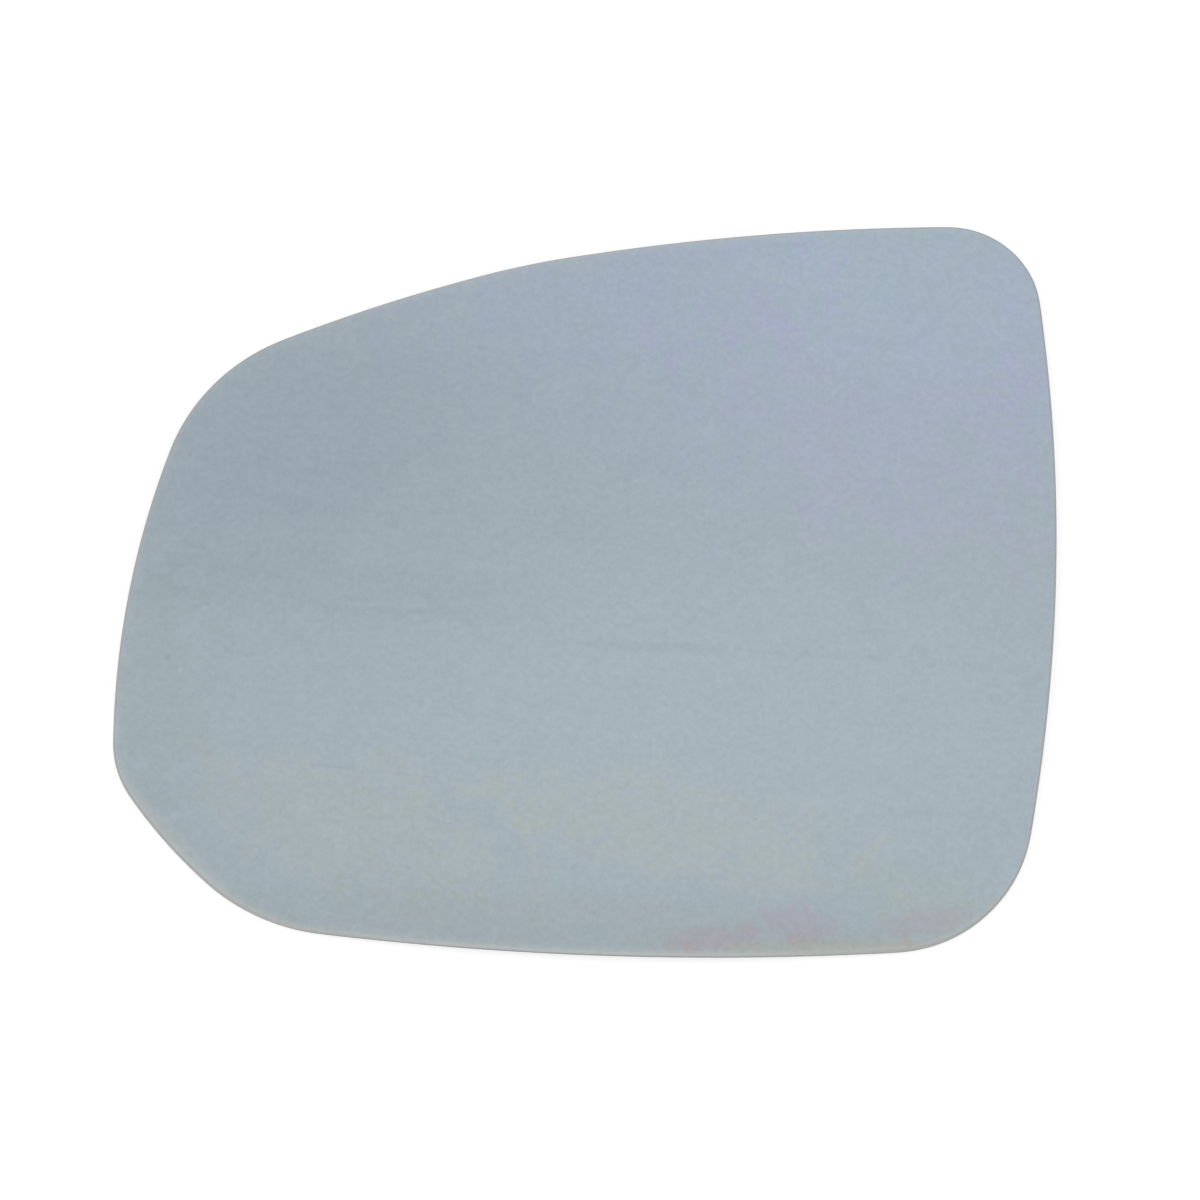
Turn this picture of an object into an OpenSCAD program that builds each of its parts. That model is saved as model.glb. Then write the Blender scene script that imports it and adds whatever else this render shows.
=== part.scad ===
// Mirror glass of a car's left-hand door mirror, lying on its back with the mirror face up.
// +X points inboard, towards the car, and -X outboard. +Y is the edge that is uppermost on the car.
// The origin is under the middle of the glass, in the plane that it rests on.
// The outline is drawn flat around the crown, the highest point of the dome, and is then laid onto the dome.

/* [Glass] */
// Thickness of the glass
glass_t = 2; // [1.6:0.2:3.2]
// Radius of the domed mirror face
face_r = 1400; // [1000:100:2500]

/* [Corners] */
// Inboard top corner, inboard of the crown
top_in_x = 86.5; // [82:1.5:92.5]
// Inboard top corner, above the crown
top_in_y = 69.5; // [64:1.1:75]
// Outboard top corner, outboard of the crown
top_out_x = 78.6; // [73.6:2.5:83.6]
// Outboard top corner, above the crown
top_out_y = 34.4; // [28.4:1:40.4]
// Shoulder of the top edge, outboard of the crown
shoulder_x = 14.2; // [5.2:1.5:24.7]
// Shoulder above a straight line between the top corners
shoulder_rise = 10.2; // [9.2:0.5:14.2]
// Outboard low corner, outboard of the crown
low_out_x = 94.4; // [88.4:1:100.4]
// Outboard low corner, below the crown
low_out_y = 47.6; // [42.6:1:52.6]
// Width that the diagonal takes off the outboard low corner
diagonal_w = 29.3; // [26:1.1:37]
// Height that the diagonal takes off the outboard low corner
diagonal_h = 30.4; // [27.4:1:36.4]
// Inboard low corner, inboard of the crown
low_in_x = 78.9; // [71.9:1:85.9]
// Inboard low corner, below the crown
low_in_y = 79.5; // [73.5:1:85.5]

/* [Side curves] */
// Radius of the top edge, inboard of its shoulder
top_in_r = 550; // [460:30:910]
// Radius of the top edge, outboard of its shoulder
top_out_r = 370; // [300:35:615]
// Radius of the outboard edge
outboard_r = 180; // [150:30:420]
// Radius of the diagonal edge
diagonal_r = 100; // [80:20:400]
// Radius of the bottom edge
bottom_r = 570; // [420:50:920]
// Radius of the inboard edge
inboard_r = 385; // [305:40:905]

/* [Corner rounding] */
// Rounding of the inboard top corner
top_in_round = 17.5; // [10:2.5:30]
// Rounding of the shoulder
shoulder_round = 200; // [60:20:260]
// Rounding of the outboard top corner
top_out_round = 39; // [21:3:51]
// Rounding between the outboard edge and the diagonal
low_out_round = 19; // [10:1.5:26.5]
// Rounding between the diagonal and the bottom edge
diagonal_round = 40; // [25:3:46]
// Rounding of the inboard low corner
low_in_round = 29; // [15:2:45]

/* [Ground edge] */
// Width of the arris ground along the mirror face
front_arris = 0.4; // [0.2:0.05:0.7]
// Width of the arris ground along the back
back_arris = 0.3; // [0.15:0.075:0.75]

/* [Hidden] */

// The round blank reaches this far past the farthest corner
blank_allow = 5;
// Each cut starts and ends this far clear of the faces of the glass
cut_clear = 1;
// Each cut is drawn from this far inside the outline
cut_inside = 2;
// Each side is cut on into its roundings by this much or by this share of their radius, whichever is more
overrun_l = 2;
overrun_share = 0.05;
// Each rounding is cut wide by this share of its radius, so that it meets its sides at about a degree
blend_share = 0.0002;
// Length of a facet along a curve
facet_l = 2;
// Angle between the points that measure the outline
measure_step = 0.5;

shoulder_line = (top_in_y - top_out_y) / (top_in_x + top_out_x);
shoulder_y = top_out_y + (top_out_x - shoulder_x) * shoulder_line + shoulder_rise;

// The corners run anticlockwise, and side i runs from corner i to the next
corners = [
    [top_in_x, top_in_y],
    [-shoulder_x, shoulder_y],
    [-top_out_x, top_out_y],
    [-low_out_x, -low_out_y],
    [-low_out_x + diagonal_w, -low_out_y - diagonal_h],
    [low_in_x, -low_in_y]
];
side_r = [top_in_r, top_out_r, outboard_r, diagonal_r, bottom_r, inboard_r];
round_r = [top_in_round, shoulder_round, top_out_round, low_out_round, diagonal_round, low_in_round];
overruns = [for (r = round_r) max(overrun_l, overrun_share * r)];
last = len(corners) - 1;

function before(i) = i == 0 ? last : i - 1;
function after(i) = i == last ? 0 : i + 1;
function unit(v) = v / norm(v);
function left_of(v) = [-v.y, v.x];
function heading(v) = atan2(v.y, v.x);
function turn_between(a, b) = (b - a + 360) % 360;
function facets(r) = ceil(2 * PI * r / facet_l);

// A side is an arc through two corners, with its centre on the inner side
function side_centre(i) =
    let (a = corners[i], b = corners[after(i)], half = norm(b - a) / 2)
    (a + b) / 2 + sqrt(side_r[i] ^ 2 - half ^ 2) * left_of(unit(b - a));

// A rounding touches the two sides from inside, so its centre is a known distance from both of theirs
function round_centre(i) =
    let (
        p = side_centre(before(i)),
        q = side_centre(i),
        from_p = side_r[before(i)] - round_r[i],
        from_q = side_r[i] - round_r[i],
        apart = norm(q - p),
        along = (from_p ^ 2 - from_q ^ 2 + apart ^ 2) / (2 * apart),
        across = left_of(unit(q - p)),
        facing = sign((corners[i] - p) * across)
    )
    p + along * unit(q - p) + facing * sqrt(from_p ^ 2 - along ^ 2) * across;

// Points where the rounding at corner i meets the side before it and the side after it
function round_start(i) = round_centre(i) + round_r[i] * unit(round_centre(i) - side_centre(before(i)));
function round_end(i) = round_centre(i) + round_r[i] * unit(round_centre(i) - side_centre(i));

// The outline as arcs in turn, each [centre, radius, first point, last point]
round_arcs = [for (i = [0:last]) [round_centre(i), round_r[i], round_start(i), round_end(i)]];
side_arcs = [for (i = [0:last]) [side_centre(i), side_r[i], round_end(i), round_start(after(i))]];

// A flat point laid onto the dome by stereographic projection, which keeps circles round and tangents tangent
function on_dome(p) =
    let (k = 1 + (p * p) / (4 * face_r ^ 2))
    [p.x / k, p.y / k, -(p * p) / (2 * face_r * k)];

// The same point, as deep as this inside the glass
function in_glass(p, depth) = on_dome(p) * (1 - depth / face_r) - [0, 0, depth];

// Points along an arc, moved in from the outline by inset
function arc_points(arc, inset) =
    let (
        start = heading(arc[2] - arc[0]),
        sweep = turn_between(start, heading(arc[3] - arc[0])),
        steps = ceil(sweep / measure_step)
    )
    [for (k = [0:steps], a = start + sweep * k / steps) arc[0] + (arc[1] - inset) * [cos(a), sin(a)]];

function rim(inset, depth) =
    [for (arc = concat(round_arcs, side_arcs), p = arc_points(arc, inset)) in_glass(p, depth)];

// The glass is widest where its wall meets the front arris, and rests where its back arris meets the back
wide_rim = rim(0, front_arris);
rest_rim = rim(back_arris, glass_t);
middle_x = (min([for (p = wide_rim) p.x]) + max([for (p = wide_rim) p.x])) / 2;
middle_y = (min([for (p = wide_rim) p.y]) + max([for (p = wide_rim) p.y])) / 2;
rest_z = min([for (p = rest_rim) p.z]);

blank_r = max([for (p = wide_rim) norm([p.x, p.y])]) + blank_allow;

// A point of the section through the rim, moved out along the glass and down into it from the outline
function at_rim(reach, out, depth) =
    (face_r - depth) * [sin(reach), cos(reach)] + out * [cos(reach), -sin(reach)] - [0, face_r];

// The circle through two points of that section with its centre on the axis, which turns into a ball
// Two balls meet in a true circle, and the ground faces made of them are crowned by about 0.01 mm
module ball_section(p, q) {
    centre_z = (p * p - q * q) / (2 * (p.y - q.y));
    radius = norm(p - [0, centre_z]);
    translate([0, centre_z])
        circle(radius, $fn = facets(radius));
}

// Section of what is ground away: all that is outside the front arris, the wall or the back arris
module waste_section(reach) {
    dome_drop = blank_r ^ 2 / (2 * face_r);
    front_edge = at_rim(reach, -front_arris, 0);
    wall_top = at_rim(reach, 0, front_arris);
    wall_foot = at_rim(reach, 0, glass_t - back_arris);
    back_edge = at_rim(reach, -back_arris, glass_t);

    difference() {
        translate(at_rim(reach, 0, 0))
            rotate(-reach)
                polygon([
                    [-cut_inside, cut_clear],
                    [blank_r, cut_clear],
                    [blank_r, -glass_t - cut_clear - dome_drop],
                    [-cut_inside, -glass_t - cut_clear]
                ]);
        intersection() {
            ball_section(front_edge, wall_top);
            ball_section(wall_top, wall_foot);
            ball_section(wall_foot, back_edge);
        }
    }
}

// Takes the waste off along one arc of the outline, run on at its ends and widened by a share of its radius
// On the dome the arc is part of a circle around an axis through the dome's centre
module grind(arc, run_in, run_out, widened) {
    centre = arc[0];
    radius = arc[1] * (1 + widened);
    power = centre * centre - radius ^ 2;
    axis = [centre.x, centre.y, face_r - power / (4 * face_r)];
    turn = heading(centre);
    tilt = acos(axis.z / norm(axis));
    reach = acos((face_r ^ 2 + power / 4) / (face_r * norm(axis)));

    // Direction of a point of the outline, seen along the axis
    function seen(p) =
        let (
            q = on_dome(p) + [0, 0, face_r],
            x = q.x * cos(turn) + q.y * sin(turn),
            y = q.y * cos(turn) - q.x * sin(turn)
        )
        atan2(y, x * cos(tilt) - q.z * sin(tilt));

    function turned(run) = run / radius * 180 / PI;
    start = seen(arc[2]) - turned(run_in);
    sweep = turn_between(seen(arc[2]), seen(arc[3])) + turned(run_in + run_out);

    translate([0, 0, -face_r])
        rotate([0, 0, turn])
            rotate([0, tilt, 0])
                translate([0, 0, face_r])
                    rotate([0, 0, start])
                        rotate_extrude(angle = sweep, $fn = facets(radius))
                            waste_section(reach);
}

// Round blank of bent glass, even in thickness, with its crown at the origin
module blank() {
    translate([0, 0, -face_r])
        rotate_extrude($fn = facets(blank_r))
            intersection() {
                difference() {
                    circle(face_r, $fn = facets(face_r));
                    circle(face_r - glass_t, $fn = facets(face_r));
                }
                square([blank_r, face_r]);
            }
}

// The blank after its first cuts, each made on what the one before has left: the sides, then the roundings
module ground_blank(cuts) {
    side = cuts - 1;
    corner = side - len(side_arcs);

    if (cuts == 0)
        blank();
    else
        difference() {
            ground_blank(cuts - 1);
            if (corner < 0)
                grind(side_arcs[side], overruns[side], overruns[after(side)], 0);
            else
                grind(round_arcs[corner], 0, 0, blend_share);
        }
}

module mirror_glass() {
    color([0.64, 0.69, 0.72])
        translate([-middle_x, -middle_y, -rest_z])
            ground_blank(len(side_arcs) + len(round_arcs));
}

mirror_glass();
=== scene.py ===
# %% [markdown]
# # The glass of a car door mirror
# The real part is one sheet of glass, about 185 mm wide and 2 mm thick. It was softened over a mould into a
# shallow dome, cut to outline, ground along its edge, coated on the front and painted on the back. The
# frame already holds that sheet at its true size. This script gives it the mesh and the finishes that a
# mirror needs, and a plain studio to be seen in. Lengths are in metres, and the glass lies with its face
# up.

import math

import bmesh
import bpy
import numpy as np
from mathutils import Matrix, Vector


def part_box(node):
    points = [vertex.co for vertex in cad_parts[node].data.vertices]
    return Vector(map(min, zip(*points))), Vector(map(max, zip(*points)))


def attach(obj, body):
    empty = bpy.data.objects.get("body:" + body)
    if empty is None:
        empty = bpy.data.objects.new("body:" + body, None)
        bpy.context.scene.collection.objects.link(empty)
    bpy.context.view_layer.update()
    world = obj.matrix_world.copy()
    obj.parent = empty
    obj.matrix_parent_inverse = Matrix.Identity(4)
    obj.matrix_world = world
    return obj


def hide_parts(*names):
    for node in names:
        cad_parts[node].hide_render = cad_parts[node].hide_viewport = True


MM = 0.001
GLASS = "mirror_glass"

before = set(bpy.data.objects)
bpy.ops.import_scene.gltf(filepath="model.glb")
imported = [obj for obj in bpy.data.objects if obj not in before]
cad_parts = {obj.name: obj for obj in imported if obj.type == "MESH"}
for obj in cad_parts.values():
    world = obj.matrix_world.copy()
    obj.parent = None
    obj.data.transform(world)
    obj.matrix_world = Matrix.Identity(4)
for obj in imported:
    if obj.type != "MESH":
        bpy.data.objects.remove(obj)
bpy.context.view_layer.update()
low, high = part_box(GLASS)
print("glass, mm:", [round(size / MM, 1) for size in high - low])

# %% [markdown]
# ## The camera
# The photograph was taken almost straight down on the glass, from a little below its lower edge and a
# little to its left. A long lens does the same here: it keeps the outline free of perspective, as product
# pictures do. The two angles and the lens were found by laying the glass's outline over the one in the
# photograph.

# %% Camera
VIEW_TILT = math.radians(18)
VIEW_TURN = math.radians(3)
VIEW_DISTANCE = 0.95
LENS_MM = 146.05
SENSOR_MM = 36
AIM = Vector((0.00162, -0.00554, 0.00593))


def look_at(thing, place, aim):
    """Stand a camera or a lamp at a place and turn it to face another, with its top towards +Y."""
    back = (Vector(place) - Vector(aim)).normalized()
    right = Vector((0, 1, 0)).cross(back).normalized()
    thing.location = place
    thing.rotation_euler = Matrix((right, back.cross(right), back)).transposed().to_euler()


camera_data = bpy.data.cameras.new("camera")
camera_data.lens = LENS_MM
camera_data.sensor_width = SENSOR_MM
camera = bpy.data.objects.new("camera", camera_data)
bpy.context.scene.collection.objects.link(camera)
to_camera = Vector((
    -math.sin(VIEW_TURN) * math.cos(VIEW_TILT),
    -math.sin(VIEW_TILT),
    math.cos(VIEW_TURN) * math.cos(VIEW_TILT),
))
look_at(camera, AIM + VIEW_DISTANCE * to_camera, AIM)
bpy.context.scene.camera = camera
print("camera, mm:", [round(c / MM) for c in camera.location])

# %% [markdown]
# ## Reading the dome
# The frame's mesh is true at its corners and flat in between, and a mirror shows every flat spot. So the
# glass gets a finer mesh of its own. Drawing it again from its dimensions would leave two outlines to keep
# alike, so everything is read from the frame instead. The first thing is the dome: the corners of all faces
# that look up lie on one big ball, and four unknowns, its centre and its radius, are found from hundreds of
# points.

# %% The dome
SAME_POINT = 2e-6
FACES_UP = 0.95


def fit_ball(points):
    """Centre and radius of the ball that lies nearest to some points."""
    rows = np.c_[2 * points, np.ones(len(points))]
    answer = np.linalg.lstsq(rows, (points ** 2).sum(axis=1), rcond=None)[0]
    centre = answer[:3]
    return centre, math.sqrt(answer[3] + centre @ centre)


cad = bmesh.new()
cad.from_mesh(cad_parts[GLASS].data)
bmesh.ops.remove_doubles(cad, verts=cad.verts, dist=SAME_POINT)
cad.normal_update()
dome_points = {tuple(v.co) for f in cad.faces if f.normal.z > FACES_UP for v in f.verts}
dome_centre, dome_radius = fit_ball(np.array(sorted(dome_points)))
crown = dome_centre + [0, 0, dome_radius]
print("dome radius, mm:", round(dome_radius / MM, 1), "crown, mm:", (crown / MM).round(2))

# %% [markdown]
# ## Reading the ground edge
# The rim has four sharp lines: the front face's own edge, the top and the foot of the wall, and the back's
# edge. Each keeps one depth under the dome all the way round, so the depth alone tells them apart. Sharp
# edges that climb from one line to the next are left out. Seen from the crown, each line is a curve of
# distance against angle, and a cubic through its points gives that distance at any angle.

# %% The four lines of the rim
SHARP = math.radians(20)
SAME_DEPTH = 0.1 * MM
LEVEL = 0.02 * MM
SAME_ANGLE = 1e-5


def around(points):
    """Angle and distance of each point, seen from above the crown, in order of angle."""
    away = points[:, :2] - crown[:2]
    angle = np.arctan2(away[:, 1], away[:, 0])
    order = np.argsort(angle)
    angle, reach = angle[order], np.hypot(*away.T)[order]
    apart = np.r_[True, np.diff(angle) > SAME_ANGLE]
    return angle[apart], reach[apart]


def reach_at(line, angles):
    """Distance of a closed line from the crown at some angles, by a cubic through its points."""
    angle, reach = line
    turn = 2 * math.pi
    t = np.r_[angle[-2:] - turn, angle, angle[:2] + turn]
    r = np.r_[reach[-2:], reach, reach[:2]]
    step = np.diff(t)
    rise = np.diff(r) / step
    slope = (step[1:] * rise[:-1] + step[:-1] * rise[1:]) / (step[1:] + step[:-1])
    at = np.searchsorted(t, angles, side="right") - 1
    at = np.clip(at, 1, len(t) - 3)
    u, h = (angles - t[at]) / step[at], step[at]
    return (
        (1 + 2 * u) * (1 - u) ** 2 * r[at] + u * (1 - u) ** 2 * h * slope[at - 1]
        + u ** 2 * (3 - 2 * u) * r[at + 1] - u ** 2 * (1 - u) * h * slope[at]
    )


sharp_edges = [e for e in cad.edges if e.is_manifold and e.calc_face_angle() > SHARP]
ends = np.array([[tuple(v.co) for v in e.verts] for e in sharp_edges])
cad.free()
end_depths = dome_radius - np.linalg.norm(ends - dome_centre, axis=2)
level = np.abs(end_depths[:, 1] - end_depths[:, 0]) < LEVEL
sharp_points = np.unique(ends[level].reshape(-1, 3), axis=0)
depths = dome_radius - np.linalg.norm(sharp_points - dome_centre, axis=1)
order = np.argsort(depths)
breaks = np.flatnonzero(np.diff(depths[order]) > SAME_DEPTH) + 1
rim_lines = []
rim_depths = []
for group in np.split(order, breaks):
    rim_lines.append(around(sharp_points[group]))
    rim_depths.append(depths[group].mean())
    print("rim line at depth", round(rim_depths[-1] / MM, 3), "mm with", len(rim_lines[-1][0]), "points")
_, wall_top, _, _ = rim_lines

# %% [markdown]
# ## A mesh for a mirror
# A reflection slides over the glass without a kink only if the mesh is fine and its rows follow the shape.
# A grid laid over the outline would end in ragged triangles, so the rows are rings: each is the outline
# drawn in towards the crown, and they stand closer together near the rim. The columns are evenly spaced
# along the edge. The ground corners are never knife sharp, so each of the rim's four lines becomes a narrow
# round of its own. Between two points of the frame's line a smooth curve bulges out past it, so all four
# are drawn in by a hair.

# %% Columns around the rim
COLUMN_L = 1.0 * MM
FINE_STEPS = 7200

fine = np.linspace(-math.pi, math.pi, FINE_STEPS + 1)
fine_reach = reach_at(wall_top, fine)
fine_xy = fine_reach[:, None] * np.c_[np.cos(fine), np.sin(fine)]
run = np.r_[0, np.cumsum(np.linalg.norm(np.diff(fine_xy, axis=0), axis=1))]
columns = round(run[-1] / COLUMN_L)
angles = np.interp(np.arange(columns) * run[-1] / columns, run, fine)
print("outline", round(run[-1] / MM, 1), "mm long, in", columns, "columns")

# %% Rows from the crown over the rim to the middle of the back
FRONT_RINGS = 40
BACK_RINGS = 18
CROWDING = 1.8
EDGE_ROUND = 0.07 * MM
DRAWN_IN = 0.02 * MM


def on_ball(reach, depth):
    """The points at these distances from the crown, one for each column, at one depth under the dome."""
    drop = dome_radius - np.sqrt((dome_radius - depth) ** 2 - reach ** 2)
    return np.c_[reach * np.cos(angles), reach * np.sin(angles), -drop] + crown


def rounded(before, corner, after):
    """A row of corners made into three rows that turn the corner in two steps."""
    start = corner + EDGE_ROUND * (before - corner) / np.linalg.norm(before - corner, axis=1)[:, None]
    end = corner + EDGE_ROUND * (after - corner) / np.linalg.norm(after - corner, axis=1)[:, None]
    return [start, (start + 2 * corner + end) / 4, end]


def inward(rings):
    """How far out each ring lies, as a share of the way from the crown to the edge, from the edge inwards."""
    return 1 - (np.arange(1, rings) / rings) ** CROWDING


reaches = [reach_at(line, angles) - DRAWN_IN for line in rim_lines]
corners = [on_ball(reach, depth) for reach, depth in zip(reaches, rim_depths)]
front_reach, back_reach = reaches[0], reaches[-1]
front_rows = [on_ball(share * front_reach, 0) for share in inward(FRONT_RINGS)[::-1]]
back_rows = [on_ball(share * back_reach, rim_depths[-1]) for share in inward(BACK_RINGS)]
line_up = [front_rows[-1], *corners, back_rows[0]]
rim_rows = []
for k in range(1, len(line_up) - 1):
    rim_rows += rounded(*line_up[k - 1:k + 2])
rows = front_rows + rim_rows + back_rows
print("rows:", len(front_rows), "front,", len(rim_rows), "rim,", len(back_rows), "back")

# %% [markdown]
# ## What the finishes need to know
# The coating and the grinding both follow the rim, so each corner of the mesh remembers two numbers: how
# far in from the front edge it lies, and how deep under the dome. An attribute carries them to the
# material, which beats guessing them from the position, because the outline has no simple formula.

# %% Build the glass
FACE_SLOT, ARRIS_SLOT, WALL_SLOT, BACK_SLOT = range(4)
ROUND_ROWS = 3
LARGEST_FACE_WINS = 100

outline = on_ball(front_reach, 0)
along = np.roll(outline, -1, axis=0) - np.roll(outline, 1, axis=0)
outward = np.c_[along[:, 1], -along[:, 0]] / np.linalg.norm(along[:, :2], axis=1)[:, None]


def from_edge(row):
    """Distance of a row from the front edge, straight across the edge, positive inwards."""
    return ((outline - row)[:, :2] * outward).sum(axis=1)


def slot_of_band(row):
    """The finish of the band between a row and the next."""
    into_rim = row - (len(front_rows) - 1)
    if into_rim <= 0:
        return FACE_SLOT
    if into_rim <= ROUND_ROWS + 1:
        return ARRIS_SLOT
    if into_rim < len(rim_rows):
        return WALL_SLOT
    return BACK_SLOT


mesh = bpy.data.meshes.new("glass")
build = bmesh.new()
top = build.verts.new(crown)
grid = [[build.verts.new(p) for p in row] for row in rows]
bottom = build.verts.new(crown - [0, 0, rim_depths[-1]])
following = [*range(1, columns), 0]
for c, d in enumerate(following):
    build.faces.new((top, grid[0][c], grid[0][d])).material_index = FACE_SLOT
    build.faces.new((bottom, grid[-1][d], grid[-1][c])).material_index = BACK_SLOT
for r in range(len(rows) - 1):
    slot = slot_of_band(r)
    for c, d in enumerate(following):
        face = build.faces.new((grid[r][c], grid[r + 1][c], grid[r + 1][d], grid[r][d]))
        face.material_index = slot
for face in build.faces:
    face.smooth = True
build.to_mesh(mesh)
build.free()

in_middle = from_edge(crown).min()
edge_mm = np.r_[in_middle, np.concatenate([from_edge(row) for row in rows]), 0] / MM
points = np.array([v.co for v in mesh.vertices])
depth_mm = (dome_radius - np.linalg.norm(points - dome_centre, axis=1)) / MM
for name, values in {"edge_mm": edge_mm, "depth_mm": depth_mm}.items():
    attribute = mesh.attributes.new(name, "FLOAT", "POINT")
    attribute.data.foreach_set("value", np.asarray(values, np.float32))
    print(name, "from", round(float(values.min()), 2), "to", round(float(values.max()), 2))

glass = bpy.data.objects.new("glass", mesh)
bpy.context.scene.collection.objects.link(glass)
flat_bands = glass.modifiers.new("flat_bands", "WEIGHTED_NORMAL")
flat_bands.weight = LARGEST_FACE_WINS
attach(glass, "root")
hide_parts(GLASS)
print("glass mesh:", len(mesh.vertices), "corners,", len(mesh.polygons), "faces")

# %% [markdown]
# ## Tools for the finishes
# Every finish here is a tree of shader nodes, so a few short helpers keep the trees readable. Some add a
# node, some make or place a group with named sockets, and one turns a colour as it looks on a screen, from
# 0 to 255, into the linear light that shaders work in. All places on the glass are given in millimetres.

# %% Helpers for node trees
def node(tree, kind, **settings):
    """Add a node to a tree and set its properties."""
    made = tree.nodes.new(kind)
    for name, value in settings.items():
        setattr(made, name, value)
    return made


def maths(tree, operation, *inputs, clamp=False):
    """A Math node on sockets or numbers. It gives back the result's socket."""
    made = node(tree, "ShaderNodeMath", operation=operation, use_clamp=clamp)
    for slot, value in enumerate(inputs):
        if isinstance(value, bpy.types.NodeSocket):
            tree.links.new(value, made.inputs[slot])
        else:
            made.inputs[slot].default_value = value
    return made.outputs[0]


def vectors(tree, operation, *inputs):
    """A Vector Math node on sockets or vectors. It gives back the result, a number where it is one."""
    made = node(tree, "ShaderNodeVectorMath", operation=operation)
    for slot, value in enumerate(inputs):
        if isinstance(value, bpy.types.NodeSocket):
            tree.links.new(value, made.inputs[slot])
        else:
            made.inputs[slot].default_value = value
    return made.outputs["Value" if operation in ("DOT_PRODUCT", "LENGTH") else "Vector"]


def noise(tree, place, scale, detail=2.0, roughness=0.5):
    """Plain noise at a place, from 0 to 1."""
    made = node(tree, "ShaderNodeTexNoise")
    made.inputs["Scale"].default_value = scale
    made.inputs["Detail"].default_value = detail
    made.inputs["Roughness"].default_value = roughness
    tree.links.new(place, made.inputs["Vector"])
    return made.outputs["Fac"]


def new_group(name, **inputs):
    """A node group with these inputs, numbers or vectors, and one output called Mask."""
    group = bpy.data.node_groups.new(name, "ShaderNodeTree")
    for title, value in inputs.items():
        kind = "NodeSocketVector" if isinstance(value, tuple) else "NodeSocketFloat"
        socket = group.interface.new_socket(title, in_out="INPUT", socket_type=kind)
        socket.default_value = value
    group.interface.new_socket("Mask", in_out="OUTPUT", socket_type="NodeSocketFloat")
    return group, node(group, "NodeGroupInput").outputs, node(group, "NodeGroupOutput").inputs["Mask"]


def place_group(tree, group, **values):
    """Place a group in a tree, each input a socket or a value of its own. It gives back the mask."""
    made = node(tree, "ShaderNodeGroup", node_tree=group)
    for title, value in values.items():
        if isinstance(value, bpy.types.NodeSocket):
            tree.links.new(value, made.inputs[title])
        else:
            made.inputs[title].default_value = value
    return made.outputs["Mask"]


def linear(*levels):
    """A colour as it looks on a screen, from 0 to 255, in linear light."""
    share = [max(0.0, level) / 255 for level in levels]
    return tuple(s / 12.92 if s <= 0.04045 else ((s + 0.055) / 1.055) ** 2.4 for s in share) + (1.0,)


# %% [markdown]
# ## Effect: a patch
# The coating of a mirror is a film a few dozen nanometres thick, and the hand that cleaned it left a
# thinner film still. Neither is quite even, so the glass shows wide stains, a few levels off the main tone.
# The same patches also paint the room's reflection on the coating, as wide painted shade and light.
# Painting each by hand is one way. A group that fades outwards from a centre does the same with a few
# numbers a patch. A noise shifts where it fades, so that a patch can be a smooth shade or break up into
# islands like a dried stain. All patches share one noise, given to the group from outside, so a dozen of
# them cost little more than one.

# %% Node group: patch
patch_group, given, mask = new_group(
    "patch", Position=(0, 0, 0), Centre=(0, 0, 0), Half_size=(1, 1, 1), Turn=(0, 0, 0),
    Crisp=1.0, Noise=0.5, Ragged=0.0,
)
to_patch = node(patch_group, "ShaderNodeMapping", vector_type="TEXTURE")
mapping = {"Position": "Vector", "Centre": "Location", "Turn": "Rotation", "Half_size": "Scale"}
for title, socket in mapping.items():
    patch_group.links.new(given[title], to_patch.inputs[socket])
flat = vectors(patch_group, "MULTIPLY", to_patch.outputs["Vector"], (1, 1, 0))
inside = maths(patch_group, "SUBTRACT", 1.0, vectors(patch_group, "LENGTH", flat))
inside = maths(patch_group, "MULTIPLY_ADD", inside, given["Crisp"], 0.5)
islands = maths(patch_group, "MULTIPLY", maths(patch_group, "SUBTRACT", given["Noise"], 0.5), given["Ragged"])
step = node(patch_group, "ShaderNodeMapRange", interpolation_type="SMOOTHSTEP")
patch_group.links.new(maths(patch_group, "ADD", inside, islands), step.inputs["Value"])
patch_group.links.new(step.outputs["Result"], mask)
print("patch:", len(patch_group.nodes), "nodes")

# %% [markdown]
# ## Effect: a streak
# A cloth drags dirt into streaks, and grit cuts hairlines. Both are a line from one point to another that
# is strong in its middle and fades at its ends. The group measures how far a place lies from that line, and
# a noise given from outside breaks it up along its run. A streak as short as it is wide makes a speck.

# %% Node group: streak
END_STRENGTH = 0.02
GAP_START = 0.3
GAP_DEPTH = 2.5

streak, given, mask = new_group(
    "streak", Position=(0, 0, 0), Start=(0, 0, 0), End=(1, 0, 0), Half_width=1.0, Noise=0.5, Broken=0.5
)
place = vectors(streak, "MULTIPLY", given["Position"], (1, 1, 0))
run_vector = vectors(streak, "SUBTRACT", given["End"], given["Start"])
reach_vector = vectors(streak, "SUBTRACT", place, given["Start"])
share = maths(
    streak, "DIVIDE", vectors(streak, "DOT_PRODUCT", reach_vector, run_vector),
    vectors(streak, "DOT_PRODUCT", run_vector, run_vector), clamp=True,
)
on_line = node(streak, "ShaderNodeVectorMath", operation="SCALE")
streak.links.new(run_vector, on_line.inputs["Vector"])
streak.links.new(share, on_line.inputs["Scale"])
off_line = vectors(streak, "LENGTH", vectors(streak, "SUBTRACT", reach_vector, on_line.outputs["Vector"]))
across = maths(streak, "POWER", maths(streak, "DIVIDE", off_line, given["Half_width"]), 2.0)
across = maths(streak, "EXPONENT", maths(streak, "MULTIPLY", across, -1.0))
ends = maths(streak, "MULTIPLY", maths(streak, "MULTIPLY", share, maths(streak, "SUBTRACT", 1.0, share)), 4.0)
ends = maths(streak, "POWER", maths(streak, "ADD", ends, END_STRENGTH, clamp=True), 0.5)
gaps = maths(streak, "SUBTRACT", given["Noise"], GAP_START, clamp=True)
gaps = maths(streak, "MULTIPLY", gaps, GAP_DEPTH)
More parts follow.
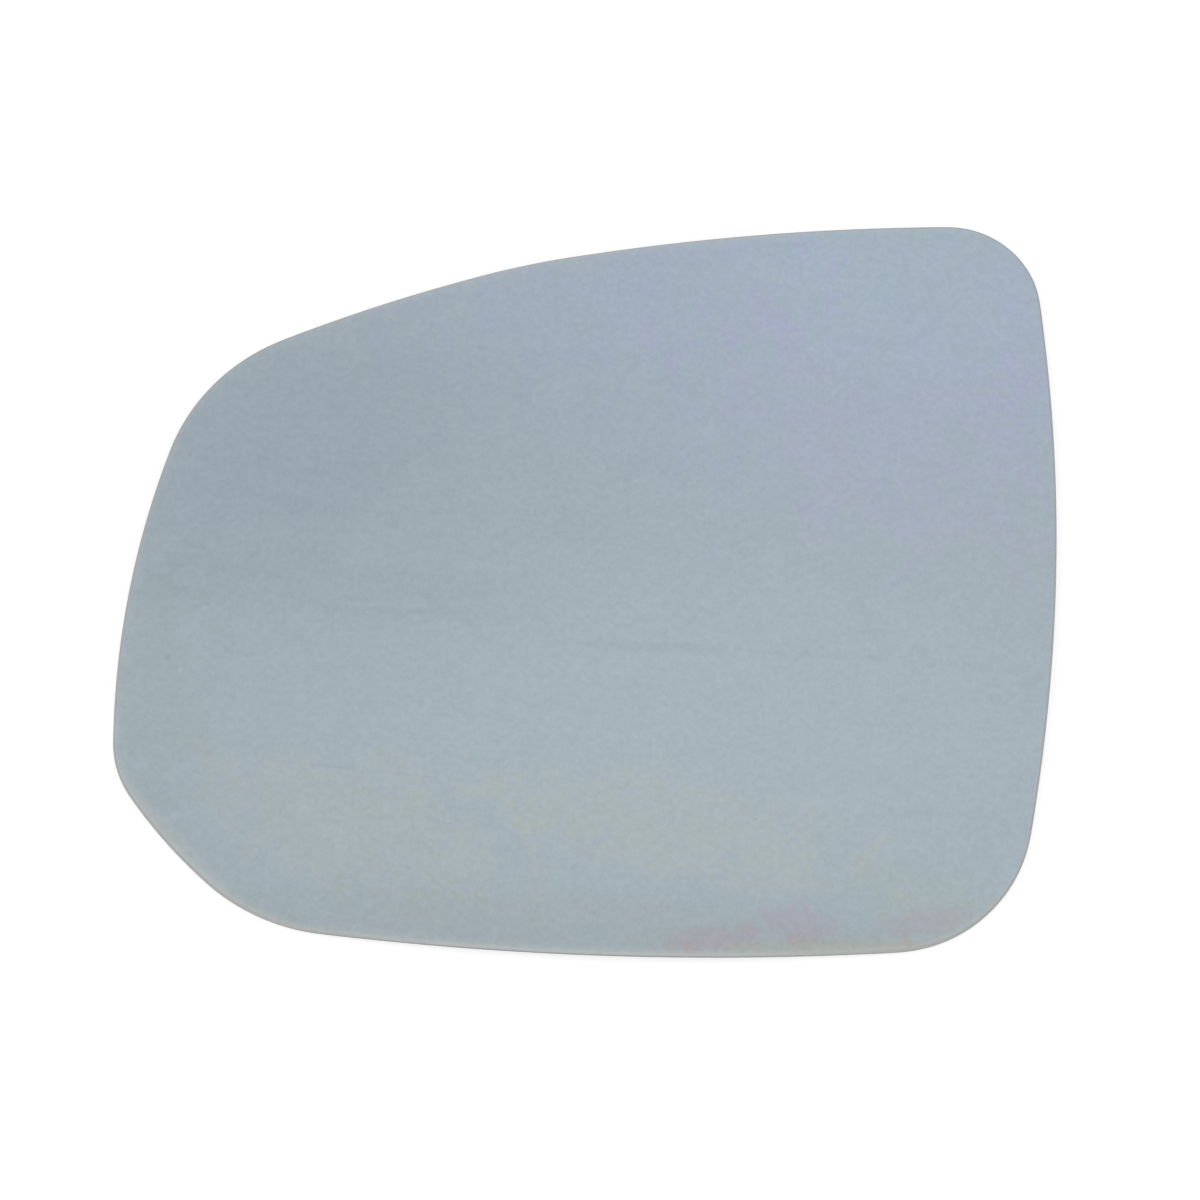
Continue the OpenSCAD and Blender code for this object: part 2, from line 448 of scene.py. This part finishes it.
gaps = maths(streak, "SUBTRACT", 1.0, maths(streak, "MULTIPLY", gaps, given["Broken"]), clamp=True)
streak.links.new(maths(streak, "MULTIPLY", maths(streak, "MULTIPLY", across, ends), gaps), mask)
print("streak:", len(streak.nodes), "nodes")

# %% [markdown]
# ## Effect: grain
# Up close no surface is one tone: dust, film and grinding all leave a grain. The group takes noise at a
# position that may be stretched, so the same effect gives round specks of dust, the long wipe marks of a
# cloth and the lines that a grinding wheel leaves, and centres it on zero so that it lightens and darkens
# alike.

# %% Node group: grain
GRAIN_ROUGHNESS = 0.75

grain, given, mask = new_group("grain", Position=(0, 0, 0), Stretch=(1, 1, 1), Detail=2.0, Amount=1.0)
squeezed = vectors(grain, "MULTIPLY", given["Position"], given["Stretch"])
raw = noise(grain, squeezed, 1.0, roughness=GRAIN_ROUGHNESS)
grain.links.new(given["Detail"], raw.node.inputs["Detail"])
centred = maths(grain, "SUBTRACT", raw, 0.5)
grain.links.new(maths(grain, "MULTIPLY", centred, given["Amount"]), mask)
print("grain:", len(grain.nodes), "nodes")


# %% [markdown]
# ## Starting a finish
# Each finish starts the same way: a material with one Principled shader, the position on the glass in
# millimetres, and the two numbers that the mesh remembers. The colour is then built up in layers, each a
# colour laid over the last through a mask.

# %% Helpers for materials
COATING = (163, 176, 184)


def new_finish(name):
    """A material, its Principled shader, and its position on the glass in millimetres."""
    material = bpy.data.materials.new(name)
    material.use_nodes = True
    tree = material.node_tree
    place = node(tree, "ShaderNodeTexCoord").outputs["Object"]
    return material, tree, tree.nodes["Principled BSDF"], vectors(tree, "MULTIPLY", place, (1 / MM,) * 3)


def remembered(tree, name):
    """One of the numbers that the mesh remembers, in millimetres."""
    return node(tree, "ShaderNodeAttribute", attribute_name=name).outputs["Fac"]


def lay(tree, colour, over, mask, amount=1.0, blend="MIX"):
    """Lay a colour over another, a socket or a colour, as far as the mask times the amount says."""
    made = node(tree, "ShaderNodeMix", data_type="RGBA", blend_type=blend)
    factor = maths(tree, "MULTIPLY", mask, amount, clamp=True)
    tree.links.new(factor, made.inputs["Factor"])
    if isinstance(colour, bpy.types.NodeSocket):
        tree.links.new(colour, made.inputs["A"])
    else:
        made.inputs["A"].default_value = colour
    made.inputs["B"].default_value = over
    return made.outputs["Result"]


def tint(shift):
    """The filter that moves the coating's tone by some levels on a screen."""
    moved = linear(*(level + step for level, step in zip(COATING, shift)))
    return tuple(after / before for after, before in zip(moved, linear(*COATING)))


def brighten(tree, colour, *shares):
    """Lighten or darken a colour by shares of itself."""
    total = shares[0]
    for share in shares[1:]:
        total = maths(tree, "ADD", total, share)
    made = node(tree, "ShaderNodeVectorMath", operation="SCALE")
    tree.links.new(colour, made.inputs["Vector"])
    tree.links.new(maths(tree, "ADD", total, 1.0), made.inputs["Scale"])
    return made.outputs["Vector"]


# %% [markdown]
# ## Finish: the coated face
# Door mirrors are coated with a metal that gives back a little under half of the light, cooler than silver
# so that headlamps dazzle less. A metal shader does that by itself: its base colour is what it gives back
# of a white room. The stains, a painted reflection of the room, the wipe marks and the light haze along
# the rim, which is partly painted highlight, are laid over that tone.

# %% The coating's stains and painted reflection
STAIN_AND_REFLECTION_NOISE_SCALE = 0.14
STAINS_AND_PAINTED_REFLECTION = {
    # Painted reflection of the room: the two dark patches to the upper left and the light one lower right.
    "outboard painted reflection, dark": dict(at=(-65, 25), half=(36, 22), turn=20, shift=(-5, -5, -4), crisp=0.8, ragged=0.8),
    "wide painted reflection, dark": dict(at=(-48, 26), half=(62, 36), turn=15, shift=(-4, -4, -4), crisp=0.7, ragged=0.8),
    "shade on the streak": dict(at=(-53, -3), half=(42, 5), turn=-2, shift=(-2, -2, -2), crisp=1.5, ragged=1),
    "lower painted reflection, light": dict(at=(36, -32), half=(66, 30), turn=0, shift=(4, 4, 4), crisp=0.7, ragged=0.8),
    "blue veil": dict(at=(44, 52), half=(62, 34), turn=-6, shift=(0, 1, 4), crisp=0.8, ragged=1),
    "bluer corner": dict(at=(62, 62), half=(30, 18), turn=-10, shift=(1, 2, 3), crisp=0.8, ragged=1),
    "violet islands": dict(at=(58, 34), half=(34, 20), turn=-18, shift=(2, -2, 3), crisp=0.9, ragged=6),
    "violet edge": dict(at=(86, 52), half=(8, 24), turn=0, shift=(1, -1, 3), crisp=0.8, ragged=4),
    "violet band": dict(at=(6, 58), half=(34, 11), turn=12, shift=(1, -1, 3), crisp=0.9, ragged=6),
    "olive, outboard": dict(at=(-44, -51), half=(26, 11), turn=-14, shift=(3, 1, -4), crisp=1.2, ragged=6),
    "olive, middle": dict(at=(17, -52), half=(31, 8), turn=-9, shift=(3, 1, -5), crisp=1.2, ragged=6),
    "olive tail": dict(at=(62, -62.5), half=(15, 5), turn=-12, shift=(0, 0, -4), crisp=1.1, ragged=5),
    "green end": dict(at=(-84, -26), half=(11, 25), turn=0, shift=(-2, -2, -4), crisp=1, ragged=4),
    "warm diagonal": dict(at=(-78, -56), half=(24, 1.6), turn=-46, shift=(6, 3, 0), crisp=1, ragged=1),
    "dull strip": dict(at=(-14, -69), half=(70, 5.5), turn=-2, shift=(-1, -2, -5), crisp=1, ragged=2),
    "mauve stain, low": dict(at=(23, -72.6), half=(9, 2.4), turn=8, shift=(5, -7, -4), crisp=1.4, ragged=4),
    "mauve stain, high": dict(at=(39, -69.2), half=(9, 3.6), turn=0, shift=(4, -6, -2), crisp=1.4, ragged=5),
    "mauve dots": dict(at=(64, -69), half=(10, 2.2), turn=12, shift=(3, -4, -1), crisp=1.2, ragged=6),
    "beige strip": dict(at=(50, -74), half=(27, 1.8), turn=1, shift=(3, -2, -10), crisp=1, ragged=3),
    "beige corner": dict(at=(67, -69), half=(13, 3), turn=16, shift=(0, -1, -4), crisp=1, ragged=4),
}

face, face_tree, face_shader, face_place = new_finish("coated face")
tone = linear(*COATING)
uneven = noise(face_tree, face_place, STAIN_AND_REFLECTION_NOISE_SCALE, detail=6, roughness=0.75)
# Each entry is either a real stain or a painted reflection, laid over the coating's tone.
for stain in STAINS_AND_PAINTED_REFLECTION.values():
    patch = place_group(
        face_tree, patch_group, Position=face_place, Centre=(*stain["at"], 0),
        Half_size=(*stain["half"], 1), Turn=(0, 0, math.radians(stain["turn"])),
        Crisp=stain["crisp"], Noise=uneven, Ragged=stain["ragged"],
    )
    tone = lay(face_tree, tone, tint(stain["shift"]), patch, blend="MULTIPLY")
print("stains:", len(STAINS_AND_PAINTED_REFLECTION))

# %% The coating's streaks, scratch and specks
STREAKS = {
    "long dark streak": dict(start=(-53, -7.7), end=(-8, -10.3), half_width=1.9, shift=-4, broken=0.8),
    "light streak over it": dict(start=(-50, -6.9), end=(-30, -7.2), half_width=0.6, shift=5, broken=0.7),
    "short dark streak": dict(start=(-4, -14.4), end=(24, -15.3), half_width=1.0, shift=-5, broken=0.6),
    "its faint run-out": dict(start=(20, -15.2), end=(88, -18.2), half_width=0.9, shift=-3, broken=0.9),
    "hairline": dict(start=(-66, -37.9), end=(-26, -42.1), half_width=0.16, shift=-8, broken=0.9),
    "upper streak": dict(start=(50, 50.3), end=(67, 49.8), half_width=0.7, shift=-3, broken=0.6),
    "small streak": dict(start=(9.6, 40.6), end=(15.5, 40.7), half_width=0.6, shift=-4, broken=0.4),
    "top streak": dict(start=(29.8, 70.4), end=(48, 71), half_width=0.7, shift=-3, broken=0.6),
    "upper speck": dict(start=(-79.2, 23.9), end=(-78.8, 23.9), half_width=0.5, shift=-14, broken=0.0),
    "end speck": dict(start=(-82.4, -17.4), end=(-82.0, -18.0), half_width=0.5, shift=-12, broken=0.0),
    "light fleck": dict(start=(-79.9, -20.0), end=(-79.7, -20.7), half_width=0.3, shift=10, broken=0.0),
}
ALONG_STREAKS = (0.25, 1.2, 1)

marks = {}
breaks = noise(face_tree, vectors(face_tree, "MULTIPLY", face_place, ALONG_STREAKS), 1.0, detail=3)
for name, mark in STREAKS.items():
    marks[name] = place_group(
        face_tree, streak, Position=face_place, Start=(*mark["start"], 0), End=(*mark["end"], 0),
        Half_width=mark["half_width"], Noise=breaks, Broken=mark["broken"],
    )
    tone = lay(face_tree, tone, tint([mark["shift"]] * 3), marks[name], blend="MULTIPLY")
print("streaks and specks:", len(STREAKS))

# %% The coating along its rim
HAZE_AND_HIGHLIGHT_W = 0.75
TARNISH_W = 5.0
HAZE_AND_HIGHLIGHT_SHIFT = (9, 5, 2)
LOW_HAZE_AND_HIGHLIGHT_SHIFT = (10, 8, 6)
TARNISH_SHIFT = (-6, -5, -5)


def fading_in(tree, width):
    """1 at the front edge, falling off inwards over a width in mm."""
    return maths(tree, "EXPONENT", maths(tree, "DIVIDE", remembered(tree, "edge_mm"), -width), clamp=True)


def rising(tree, value, start, end):
    """0 up to a start, then smoothly up to 1 at an end, which may be the smaller one."""
    made = node(tree, "ShaderNodeMapRange", interpolation_type="SMOOTHSTEP")
    tree.links.new(value, made.inputs["Value"])
    made.inputs["From Min"].default_value = start
    made.inputs["From Max"].default_value = end
    return made.outputs["Result"]


split = node(face_tree, "ShaderNodeSeparateXYZ")
face_tree.links.new(face_place, split.inputs["Vector"])
to_low_edge = rising(face_tree, split.outputs["Y"], -20, -55)
off_low_corner = rising(face_tree, split.outputs["X"], 75, 45)
off_inboard_edge = rising(face_tree, split.outputs["X"], 90, 72)
low = maths(face_tree, "MULTIPLY", to_low_edge, off_low_corner)
tarnish = maths(face_tree, "MULTIPLY", fading_in(face_tree, TARNISH_W), low)
tone = lay(face_tree, tone, tint(TARNISH_SHIFT), tarnish, blend="MULTIPLY")
# Painted highlight along the front edge, where the edge catches light, strongest along the low edge; partly
# the haze of a wiping film.
haze_and_painted_highlight = maths(face_tree, "MULTIPLY", fading_in(face_tree, HAZE_AND_HIGHLIGHT_W), off_inboard_edge)
tone = lay(face_tree, tone, tint(HAZE_AND_HIGHLIGHT_SHIFT), haze_and_painted_highlight, blend="MULTIPLY")
low_haze_and_painted_highlight = maths(face_tree, "MULTIPLY", haze_and_painted_highlight, low)
tone = lay(face_tree, tone, tint(LOW_HAZE_AND_HIGHLIGHT_SHIFT), low_haze_and_painted_highlight, blend="MULTIPLY")
print("haze and tarnish fade over", HAZE_AND_HIGHLIGHT_W, "and", TARNISH_W, "mm")

# %% The coating's wipe marks, grain and gloss
CLEAN_ROUGHNESS = 0.05
WIPES_DULL = 0.8
HAZE_DULLS = 0.06
MARKS_DULL = 0.08
WAVE_HEIGHT = 0.004 * MM

wipes = place_group(face_tree, grain, Position=face_place, Stretch=(0.015, 0.22, 1), Amount=0.04)
clouds = place_group(face_tree, grain, Position=face_place, Stretch=(0.12, 0.16, 1), Amount=0.05)
dust = place_group(face_tree, grain, Position=face_place, Stretch=(0.8, 0.8, 1), Detail=5, Amount=0.33)
tone = brighten(face_tree, tone, wipes, clouds, dust)
face_tree.links.new(tone, face_shader.inputs["Base Color"])
face_shader.inputs["Metallic"].default_value = 1.0

film = maths(face_tree, "MULTIPLY_ADD", wipes, WIPES_DULL, CLEAN_ROUGHNESS)
film = maths(face_tree, "MULTIPLY_ADD", haze_and_painted_highlight, HAZE_DULLS, film)
for name in ("long dark streak", "light streak over it", "upper speck", "end speck", "light fleck"):
    film = maths(face_tree, "MULTIPLY_ADD", marks[name], MARKS_DULL, film)
face_tree.links.new(film, face_shader.inputs["Roughness"])

wave = node(face_tree, "ShaderNodeBump")
wave.inputs["Strength"].default_value = 1.0
wave.inputs["Distance"].default_value = WAVE_HEIGHT
face_tree.links.new(noise(face_tree, face_place, 0.04, detail=1), wave.inputs["Height"])
face_tree.links.new(wave.outputs["Normal"], face_shader.inputs["Normal"])
print("coated face:", len(face_tree.nodes), "nodes")

# %% [markdown]
# ## Finish: the ground edge
# A diamond wheel takes the edge down dry or in water and leaves it frosted: clear glass with a skin of fine
# scratches, pale where light falls on it. The scratches run the way the wheel went, along the rim, so the
# grain is stretched along it by reading the depth under the dome. The wall is the same glass, seen almost
# edge on: the same tree with a darker colour, partly the grey of the painted back showing through and
# partly painted shade on the wall. The coating
# stops where the round of the front edge starts, and that round is ground glass too.

# %% Ground glass
LINES_PER_MM = 22.0
CHIPS_FROM = 0.62
FROST_ROUGHNESS = 0.55
FROST_DEPTH = 0.03 * MM


def ground_glass(name, colour, ends, dark):
    """Frosted edge glass: its colour along the long edges, at the two ends, and in its deeper marks."""
    material, tree, shader, place = new_finish(name)
    across = node(tree, "ShaderNodeSeparateXYZ")
    tree.links.new(place, across.inputs["Vector"])
    from_middle = maths(tree, "ABSOLUTE", across.outputs["X"])
    to_ends = maths(tree, "MULTIPLY_ADD", from_middle, 0.02, -0.5, clamp=True)
    tone = lay(tree, linear(*colour), linear(*ends), to_ends)
    along_rim = node(tree, "ShaderNodeCombineXYZ")
    tree.links.new(maths(tree, "MULTIPLY", across.outputs["X"], 0.5), along_rim.inputs["X"])
    tree.links.new(maths(tree, "MULTIPLY", across.outputs["Y"], 0.5), along_rim.inputs["Y"])
    depth = remembered(tree, "depth_mm")
    tree.links.new(maths(tree, "MULTIPLY", depth, LINES_PER_MM), along_rim.inputs["Z"])
    lines = place_group(tree, grain, Position=along_rim.outputs["Vector"], Amount=0.22)
    frost = place_group(tree, grain, Position=place, Stretch=(9, 9, 9), Amount=0.16)
    chips = noise(tree, place, 2.6, detail=3)
    chips = maths(tree, "SUBTRACT", chips, CHIPS_FROM, clamp=True)
    chips = maths(tree, "MULTIPLY", chips, 9.0, clamp=True)
    tone = lay(tree, tone, linear(*dark), chips, 0.6)
    tone = brighten(tree, tone, lines, frost)
    tree.links.new(tone, shader.inputs["Base Color"])
    rough = maths(tree, "MULTIPLY_ADD", chips, -0.3, FROST_ROUGHNESS)
    tree.links.new(maths(tree, "MULTIPLY_ADD", lines, 0.6, rough), shader.inputs["Roughness"])
    bump = node(tree, "ShaderNodeBump")
    bump.inputs["Strength"].default_value = 0.6
    bump.inputs["Distance"].default_value = FROST_DEPTH
    relief = maths(tree, "SUBTRACT", maths(tree, "ADD", lines, frost), chips)
    tree.links.new(relief, bump.inputs["Height"])
    tree.links.new(bump.outputs["Normal"], shader.inputs["Normal"])
    return material


arris = ground_glass("ground arris", colour=(189, 192, 193), ends=(176, 178, 178), dark=(150, 155, 156))
# Painted shade: the wall's darker colour stands partly for the shade on it, partly for the grey back showing
# through.
wall = ground_glass("ground wall", colour=(150, 154, 153), ends=(178, 175, 170), dark=(118, 122, 122))
print("ground glass:", len(arris.node_tree.nodes), "nodes each")

# %% [markdown]
# ## Finish: the painted back
# The back gets a coat of grey protective paint, sprayed and baked: nearly matt, with the fine skin that
# sprayed paint has, a little thinner along the edge and dusty from lying about. It is seen only when the
# glass is turned over.

# %% Back paint
PAINT = (96, 99, 102)
THIN_PAINT = (122, 126, 127)
THIN_W = 1.6
DUST = (158, 158, 154)
DUST_FROM = 0.66
PAINT_ROUGHNESS = 0.62
PEEL_DEPTH = 0.04 * MM

back, back_tree, back_shader, back_place = new_finish("back paint")
mottle = place_group(back_tree, grain, Position=back_place, Stretch=(0.06, 0.06, 1), Amount=0.25)
skin = place_group(back_tree, grain, Position=back_place, Stretch=(1.6, 1.6, 1), Amount=0.12)
specks = noise(back_tree, back_place, 1.1, detail=2)
specks = maths(back_tree, "SUBTRACT", specks, DUST_FROM, clamp=True)
specks = maths(back_tree, "MULTIPLY", specks, 8.0, clamp=True)
thin = fading_in(back_tree, THIN_W)
paint = lay(back_tree, linear(*PAINT), linear(*THIN_PAINT), thin, 0.6)
paint = lay(back_tree, paint, linear(*DUST), specks, 0.45)
back_tree.links.new(brighten(back_tree, paint, mottle, skin), back_shader.inputs["Base Color"])
matt = maths(back_tree, "MULTIPLY_ADD", mottle, 0.5, PAINT_ROUGHNESS)
back_tree.links.new(matt, back_shader.inputs["Roughness"])
peel = node(back_tree, "ShaderNodeBump")
peel.inputs["Strength"].default_value = 0.5
peel.inputs["Distance"].default_value = PEEL_DEPTH
back_tree.links.new(noise(back_tree, back_place, 0.9, detail=2), peel.inputs["Height"])
back_tree.links.new(peel.outputs["Normal"], back_shader.inputs["Normal"])

for finish in (face, arris, wall, back):
    mesh.materials.append(finish)
print("finishes:", [m.name for m in mesh.materials])

# %% [markdown]
# ## The studio
# A mirror shows its room, so the room is what makes it look right. It is white all round, which the camera,
# gloss and glass see at full strength, while the light that it sheds on matt surfaces is held lower and
# large lamps make up the rest. From some sides a mirror would show each lamp as a glaring panel, so gloss
# doesn't see them.

# %% Floor and room
ROOM_SHEDS = 0.6
FLOOR_W = 3.0
FLOOR_TONE = 206
FLOOR_GLOW = 0.6


def sees_white(tree):
    """1 for rays from the camera, gloss or glass, and 0 for the light that falls on matt surfaces."""
    path = node(tree, "ShaderNodeLightPath").outputs
    seen = maths(tree, "MAXIMUM", path["Is Camera Ray"], path["Is Glossy Ray"])
    return maths(tree, "MAXIMUM", seen, path["Is Transmission Ray"])


floor_mesh = bpy.data.meshes.new("floor")
half = FLOOR_W / 2
floor_corners = [(-half, -half, 0), (half, -half, 0), (half, half, 0), (-half, half, 0)]
floor_mesh.from_pydata(floor_corners, [], [(0, 1, 2, 3)])
floor = bpy.data.objects.new("floor", floor_mesh)
bpy.context.scene.collection.objects.link(floor)
floor_paint, floor_tree, floor_shader, _ = new_finish("floor paint")
floor_shader.inputs["Base Color"].default_value = linear(FLOOR_TONE, FLOOR_TONE, FLOOR_TONE)
floor_shader.inputs["Roughness"].default_value = 0.9
floor_shader.inputs["Specular IOR Level"].default_value = 0.0
floor_shader.inputs["Emission Color"].default_value = (1, 1, 1, 1)
glow = maths(floor_tree, "MULTIPLY", sees_white(floor_tree), FLOOR_GLOW)
floor_tree.links.new(glow, floor_shader.inputs["Emission Strength"])
floor_mesh.materials.append(floor_paint)

world = bpy.data.worlds.new("studio")
bpy.context.scene.world = world
world.use_nodes = True
room = world.node_tree
room_light = room.nodes["Background"]
room_light.inputs["Color"].default_value = (1, 1, 1, 1)
strength = maths(room, "MULTIPLY_ADD", sees_white(room), 1 - ROOM_SHEDS, ROOM_SHEDS)
room.links.new(strength, room_light.inputs["Strength"])
print("room sheds", ROOM_SHEDS)

# %% Lamps
LAMPS = {
    "left softbox": dict(place=(-1.15, -0.25, 1.05), size=1.3, glow=1.2),
    "right softbox": dict(place=(1.25, -0.1, 0.95), size=1.2, glow=0.7),
    "front strip": dict(place=(0.1, -1.3, 0.6), size=0.8, glow=1.0),
}

for name, lamp in LAMPS.items():
    data = bpy.data.lights.new(name, "AREA")
    data.shape = "SQUARE"
    data.size = lamp["size"]
    data.energy = lamp["glow"] * math.pi * lamp["size"] ** 2
    softbox = bpy.data.objects.new(name, data)
    softbox.visible_glossy = False
    bpy.context.scene.collection.objects.link(softbox)
    look_at(softbox, lamp["place"], (0, 0, 0))
    place = Vector(lamp["place"])
    share = lamp["glow"] * lamp["size"] ** 2 * place.normalized().z / place.length_squared
    print(name, "lights a level white card to", round(share / math.pi, 2))

# %% Picture settings
bpy.context.scene.view_settings.view_transform = "Standard"
